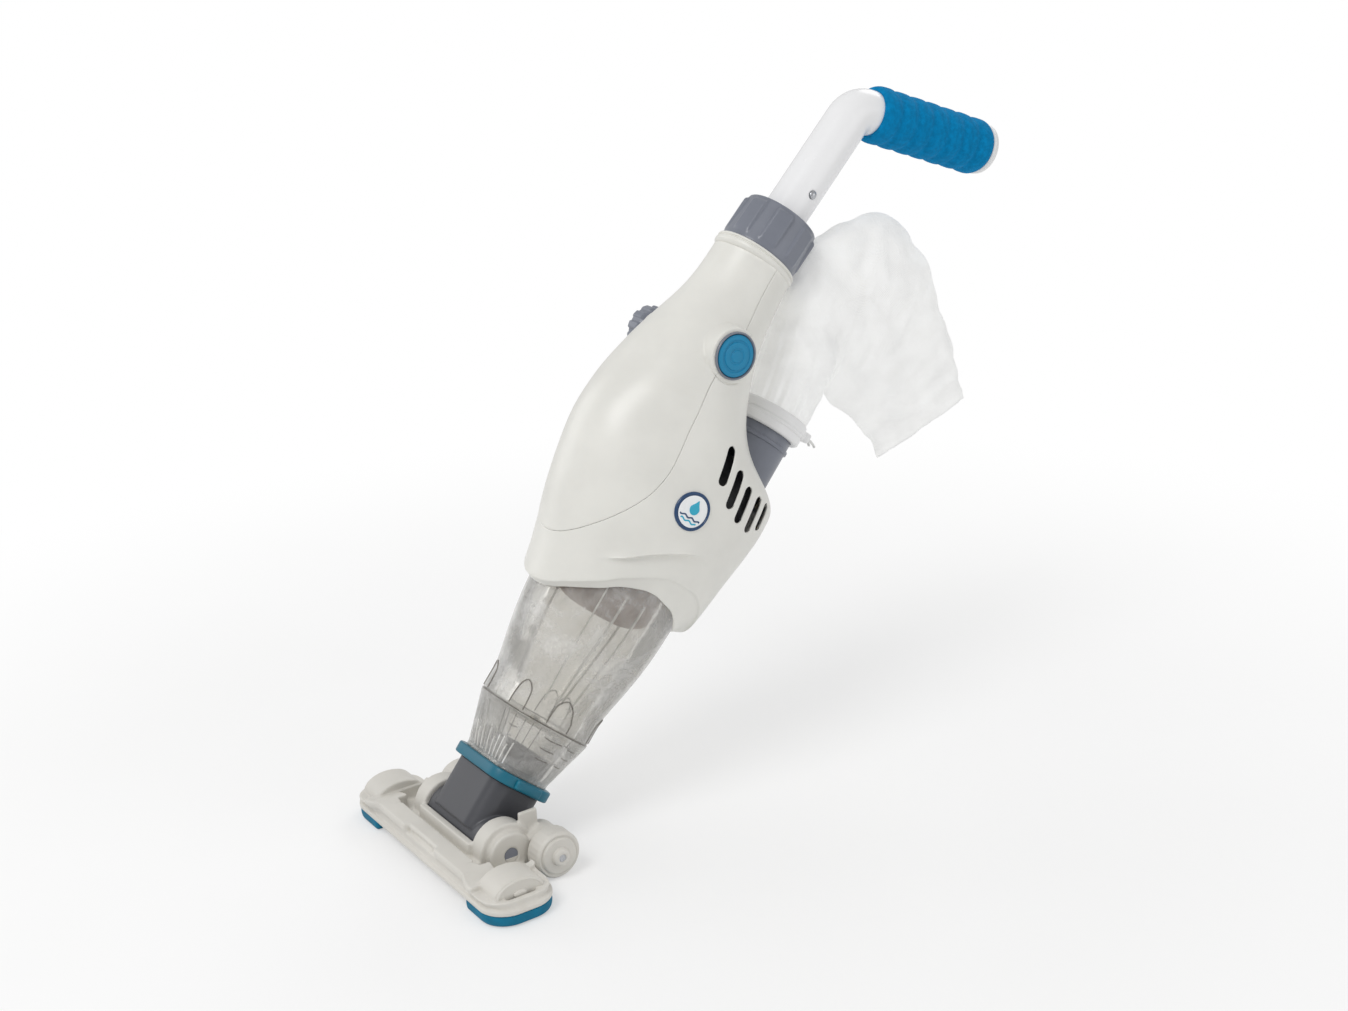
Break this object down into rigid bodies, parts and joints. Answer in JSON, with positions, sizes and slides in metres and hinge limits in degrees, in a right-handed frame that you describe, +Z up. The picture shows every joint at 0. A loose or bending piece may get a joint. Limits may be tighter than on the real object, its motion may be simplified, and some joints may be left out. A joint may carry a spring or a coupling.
{
  "type": "handheld pool vacuum",
  "caption": "Cordless hand-held pool and spa vacuum: tilting floor head, clear debris cone, egg-shaped pump housing, mesh filter bag and bent grip handle.",
  "frame": {"origin": "on the floor, straight below the pivot between the floor head and the neck", "axes": "+Z up, +X to the user's right, along the head's long side, +Y towards the user; the body leans back 40.4 degrees in the YZ plane"},
  "size_m": [0.214, 0.5197, 0.4769],
  "materials": {
    "cream_housing": "satin gloss moulded ABS",
    "cream_head": "satin moulded ABS",
    "grey_plastic": "fine moulded texture",
    "blue_plastic": "satin",
    "blue_pad": "soft moulded",
    "blue_foam": "closed-cell foam grip",
    "white_tube": "powder-white tube",
    "white_plastic": "natural",
    "white_mesh": "fine micron mesh",
    "white_cord": "braided",
    "clear_plastic": "clear moulded SAN with water marks",
    "black_seal": "moulded",
    "black_plastic": "moulded",
    "steel": "bright",
    "motor_steel": "plated can",
    "cell_wrap": "shrink wrap",
    "board": "solder mask",
    "badge": "printed disc, plain drop motif"
  },
  "bodies": {
    "housing": {"front_cover": "cream_housing", "rear_cover": "cream_housing", "handle_socket": "cream_housing", "neck_seal": "black_seal", "collet_sleeve": "grey_plastic", "button_bezel": "grey_plastic", "button_spring": "steel", "switch_module": "black_plastic", "charge_port": "grey_plastic", "battery_cells": "cell_wrap", "battery_tray": "grey_plastic", "control_board": "board", "motor_can": "motor_steel", "shaft_seal": "black_seal", "pump_housing": "grey_plastic", "pump_cover": "grey_plastic", "outlet_tube": "grey_plastic", "side_badge": "badge", "case_screws": "steel", "pump_screws": "steel", "cone_gasket": "black_seal"},
    "nut": {"collar_nut": "grey_plastic"},
    "handle": {"handle_tube": "white_tube", "handle_bend": "white_tube", "grip_sleeve": "blue_foam", "grip_end_cap": "white_tube", "snap_spring": "steel"},
    "snap": {"snap_button": "steel"},
    "button": {"power_button": "blue_plastic"},
    "cap": {"charge_cap": "grey_plastic"},
    "rotor": {"motor_shaft": "steel", "impeller": "white_plastic"},
    "bag": {"bag_ring": "white_plastic", "filter_bag": "white_mesh", "drawcord": "white_cord"},
    "toggle": {"cord_toggle": "white_plastic"},
    "cone": {"clear_cone": "clear_plastic", "valve_seat": "white_plastic", "flap_pin": "steel"},
    "flap": {"flap_valve": "white_plastic"},
    "nozzle": {"neck_connector": "grey_plastic", "lock_ring": "blue_plastic", "neck_o_ring": "black_seal", "pivot_pins": "grey_plastic"},
    "head": {"head_shell": "cream_head", "end_pads": "blue_pad", "hub_caps": "cream_head", "wheel_axles": "steel", "axle_clips": "cream_head", "head_screws": "steel"},
    "wheel_l": {"wheel_left": "cream_head"},
    "wheel_r": {"wheel_right": "cream_head"}
  },
  "joints": [
    {"name": "head_tilt", "type": "hinge", "parent": "nozzle", "child": "head", "pos_m": [0, 0, 0.019], "axis": [1, 0, 0], "range_deg": [-15, 21.5]},
    {"name": "nozzle_release", "type": "slide", "parent": "cone", "child": "nozzle", "axis": [0, -0.6481, -0.7615], "range_m": [0, 0.03], "stiffness_N_per_m": 1500},
    {"name": "cone_release", "type": "slide", "parent": "housing", "child": "cone", "axis": [0, -0.6481, -0.7615], "range_m": [0, 0.045], "stiffness_N_per_m": 2000},
    {"name": "flap_hinge", "type": "hinge", "parent": "cone", "child": "flap", "pos_m": [0, 0.04214, 0.09397], "axis": [1, 0, 0], "range_deg": [0, 70]},
    {"name": "impeller_spin", "type": "hinge", "parent": "housing", "child": "rotor", "pos_m": [0, 0.14946, 0.20695], "axis": [0, 0.6481, 0.7615], "continuous": true},
    {"name": "button_press", "type": "slide", "parent": "housing", "child": "button", "axis": [-1, 0, 0], "range_m": [0, 0.0025], "stiffness_N_per_m": 800, "deforming": ["button_spring"]},
    {"name": "charge_cap_turn", "type": "hinge", "parent": "housing", "child": "cap", "pos_m": [0, 0.20351, 0.31984], "axis": [-1, 0, 0], "range_deg": [0, 120]},
    {"name": "collar_turn", "type": "hinge", "parent": "housing", "child": "nut", "pos_m": [0, 0.25692, 0.37025], "axis": [0, 0.7046, 0.7096], "range_deg": [0, 90]},
    {"name": "handle_slide", "type": "slide", "parent": "housing", "child": "handle", "axis": [0, 0.7046, 0.7096], "range_m": [0, 0.06]},
    {"name": "snap_press", "type": "slide", "parent": "handle", "child": "snap", "axis": [-1, 0, 0], "range_m": [0, 0.004], "stiffness_N_per_m": 600, "deforming": ["snap_spring"]},
    {"name": "bag_slide", "type": "slide", "parent": "housing", "child": "bag", "axis": [0, 0.6481, 0.7615], "range_m": [0, 0.02]},
    {"name": "toggle_slide", "type": "slide", "parent": "bag", "child": "toggle", "axis": [0, 0.7615, -0.6481], "range_m": [0, 0.005]},
    {"name": "wheel_left_spin", "type": "hinge", "parent": "head", "child": "wheel_l", "pos_m": [-0.064, 0.0265, 0.0165], "axis": [1, 0, 0], "continuous": true},
    {"name": "wheel_right_spin", "type": "hinge", "parent": "head", "child": "wheel_r", "pos_m": [0.064, 0.0265, 0.0165], "axis": [1, 0, 0], "continuous": true}
  ]
}
